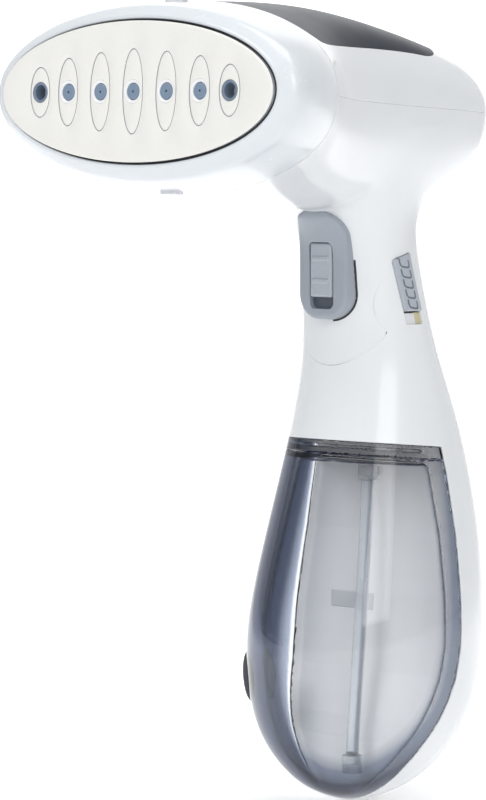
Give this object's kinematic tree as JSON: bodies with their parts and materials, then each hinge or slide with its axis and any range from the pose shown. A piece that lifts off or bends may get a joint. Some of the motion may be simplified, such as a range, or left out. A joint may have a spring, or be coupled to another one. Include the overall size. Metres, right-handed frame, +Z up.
{
  "type": "garment steamer",
  "caption": "Handheld garment steamer with an oval steam plate, a thumb switch on the neck and a drop-in water tank in front of a rear spine.",
  "frame": {"origin": "middle of the grip, where the hand closes on it", "axes": "+Z up along the handle, -Y the way the steam plate faces, +X to the right seen from the front, on the release slider side"},
  "size_m": [0.142, 0.1823, 0.2933],
  "materials": {
    "white_shell": "polished moulding",
    "dark_panel": "high gloss",
    "plate_coating": "ceramic coat",
    "dark_rubber": "matte",
    "blue_grey_insert": "satin",
    "clear_white": "clear",
    "cast_aluminium": "cast",
    "red_silicone": "matte",
    "heater_steel": "heat tinted",
    "dark_plastic": "fine texture",
    "brass_parts": "turned",
    "plain_steel": "plain",
    "grey_plastic": "satin",
    "amber_strip": "satin",
    "smoke_clear": "clear, smoke tint",
    "plug_rubber": "satin",
    "copper_coil": "wound wire",
    "board_green": "solder mask",
    "wire_jacket": "matte"
  },
  "bodies": {
    "root": {"front_bezel": "white_shell", "head_top_shell": "white_shell", "neck_housing": "white_shell", "handle_shell": "white_shell", "top_panel": "dark_panel", "steam_plate": "plate_coating", "plate_gasket": "dark_rubber", "nozzle_inserts": "blue_grey_insert", "accessory_socket_left": "blue_grey_insert", "accessory_socket_right": "blue_grey_insert", "brush_catches": "clear_white", "boiler_body": "cast_aluminium", "boiler_gasket": "red_silicone", "boiler_cover": "cast_aluminium", "heating_element": "heater_steel", "steam_manifold": "dark_plastic", "thermostat": "dark_plastic", "thermal_fuse": "brass_parts", "boiler_bracket": "plain_steel", "boiler_screws": "brass_parts", "switch_panel": "grey_plastic", "micro_switch": "dark_plastic", "inner_frame": "white_shell", "latch_spring": "plain_steel", "slider_strip": "amber_strip", "tank_socket": "dark_plastic", "socket_seal": "dark_rubber", "inlet_hose": "clear_white", "outlet_hose": "clear_white", "pump_barrel": "clear_white", "pump_coil": "copper_coil", "pump_frame": "plain_steel", "circuit_board": "board_green", "board_parts": "dark_plastic", "terminal_block": "white_shell", "mains_wires": "wire_jacket", "cord_gland": "grey_plastic", "cord_clamp": "dark_plastic", "case_screws": "plain_steel"},
    "steam_switch": {"switch_button": "grey_plastic", "switch_slide": "dark_plastic"},
    "release": {"release_slider": "grey_plastic", "latch_arm": "dark_plastic"},
    "tank": {"water_tank": "smoke_clear", "tank_lid": "smoke_clear", "siphon_tube": "clear_white", "siphon_filter": "plain_steel", "tank_outlet": "clear_white"},
    "plug": {"fill_plug": "plug_rubber"},
    "piston": {"pump_piston": "plain_steel"}
  },
  "joints": [
    {"name": "steam_switch_slide", "type": "slide", "parent": "root", "child": "steam_switch", "axis": [0, 0, -1], "range_m": [0, 0.004]},
    {"name": "release_slide", "type": "slide", "parent": "root", "child": "release", "axis": [0.0774, 0.2418, -0.9672], "range_m": [0, 0.005], "stiffness_N_per_m": 400, "springref_m": -0.002},
    {"name": "tank_slide", "type": "slide", "parent": "root", "child": "tank", "axis": [0, -1, 0], "range_m": [0, 0.08]},
    {"name": "plug_pull", "type": "slide", "parent": "tank", "child": "plug", "axis": [-0.8837, -0.4561, -0.1045], "range_m": [0, 0.015]},
    {"name": "piston_stroke", "type": "slide", "parent": "root", "child": "piston", "axis": [0, 0, 1], "range_m": [-0.0015, 0.0015], "stiffness_N_per_m": 300}
  ]
}
